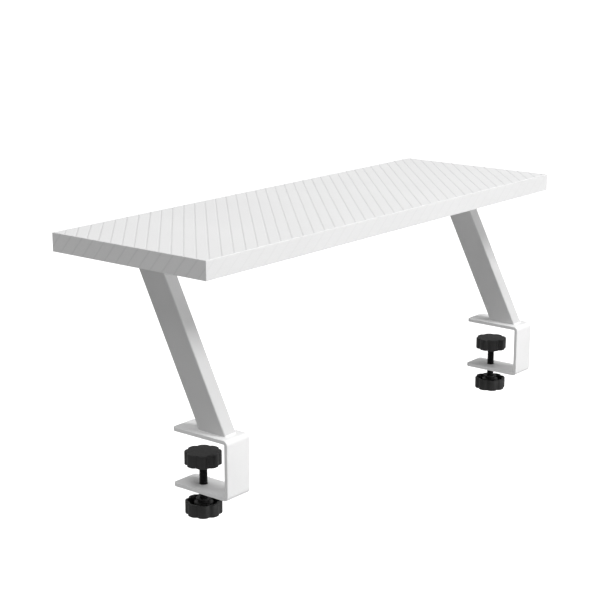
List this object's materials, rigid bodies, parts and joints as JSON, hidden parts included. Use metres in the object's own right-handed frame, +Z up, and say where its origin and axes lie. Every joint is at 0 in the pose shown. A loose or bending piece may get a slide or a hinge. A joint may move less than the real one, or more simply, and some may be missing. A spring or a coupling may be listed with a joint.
{
  "type": "clamp-on desk shelf",
  "caption": "Raised shelf board on two slanting flat-tube legs, each ending in a C-shaped desk clamp with a screw, hand knob and pressure pad.",
  "frame": {"origin": "on the desk top's plane, which the upper flanges' undersides rest on, at the desk's rear edge, which the clamps' webs meet, midway between the two clamps", "axes": "+X along the board towards the right-hand clamp, +Y rearwards, away from the user, +Z up"},
  "size_m": [0.6, 0.2, 0.262],
  "materials": {
    "board_laminate": "embossed diagonal twill",
    "fibreboard": "raw fibreboard",
    "powder_coated_steel": "satin powder coat",
    "black_oxide_steel": "black oxide",
    "black_plastic": "fine moulded texture",
    "zinc_plated_steel": "zinc plate",
    "brass": "machined",
    "spring_steel": "phosphated"
  },
  "bodies": {
    "frame": {"shelf_core": "fibreboard", "shelf_top_laminate": "board_laminate", "shelf_bottom_laminate": "board_laminate", "edge_band_front": "board_laminate", "edge_band_rear": "board_laminate", "edge_band_right": "board_laminate", "edge_band_left": "board_laminate", "right_leg_tube": "powder_coated_steel", "right_foot_weld": "powder_coated_steel", "right_top_weld": "powder_coated_steel", "right_shelf_plate": "powder_coated_steel", "right_plate_screw_1": "zinc_plated_steel", "right_plate_screw_2": "zinc_plated_steel", "right_plate_screw_3": "zinc_plated_steel", "right_plate_screw_4": "zinc_plated_steel", "right_clamp_bracket": "powder_coated_steel", "left_leg_tube": "powder_coated_steel", "left_foot_weld": "powder_coated_steel", "left_top_weld": "powder_coated_steel", "left_shelf_plate": "powder_coated_steel", "left_plate_screw_1": "zinc_plated_steel", "left_plate_screw_2": "zinc_plated_steel", "left_plate_screw_3": "zinc_plated_steel", "left_plate_screw_4": "zinc_plated_steel", "left_clamp_bracket": "powder_coated_steel"},
    "right_pad": {"right_pressure_pad": "black_plastic", "right_swivel_cup": "zinc_plated_steel"},
    "right_screw": {"right_clamp_screw": "black_oxide_steel", "right_hand_knob": "black_plastic", "right_knob_insert": "brass", "right_retaining_ring": "spring_steel"},
    "left_pad": {"left_pressure_pad": "black_plastic", "left_swivel_cup": "zinc_plated_steel"},
    "left_screw": {"left_clamp_screw": "black_oxide_steel", "left_hand_knob": "black_plastic", "left_knob_insert": "brass", "left_retaining_ring": "spring_steel"}
  },
  "joints": [
    {"name": "right_pad_lift", "type": "slide", "parent": "frame", "child": "right_pad", "axis": [0, 0, 1], "range_m": [-0.017, 0.0099]},
    {"name": "right_screw_turn", "type": "hinge", "parent": "right_pad", "child": "right_screw", "pos_m": [0.259, -0.041, 0], "axis": [0, 0, 1], "range_deg": [-4896.5, 2851.5]},
    {"name": "left_pad_lift", "type": "slide", "parent": "frame", "child": "left_pad", "axis": [0, 0, 1], "range_m": [-0.017, 0.0099]},
    {"name": "left_screw_turn", "type": "hinge", "parent": "left_pad", "child": "left_screw", "pos_m": [-0.259, -0.041, 0], "axis": [0, 0, 1], "range_deg": [-4896.5, 2851.5]}
  ],
  "couplings": [
    {"joint": "right_screw_turn", "follows": "right_pad_lift", "rad_per_m": 5026.5},
    {"joint": "left_screw_turn", "follows": "left_pad_lift", "rad_per_m": 5026.5}
  ]
}
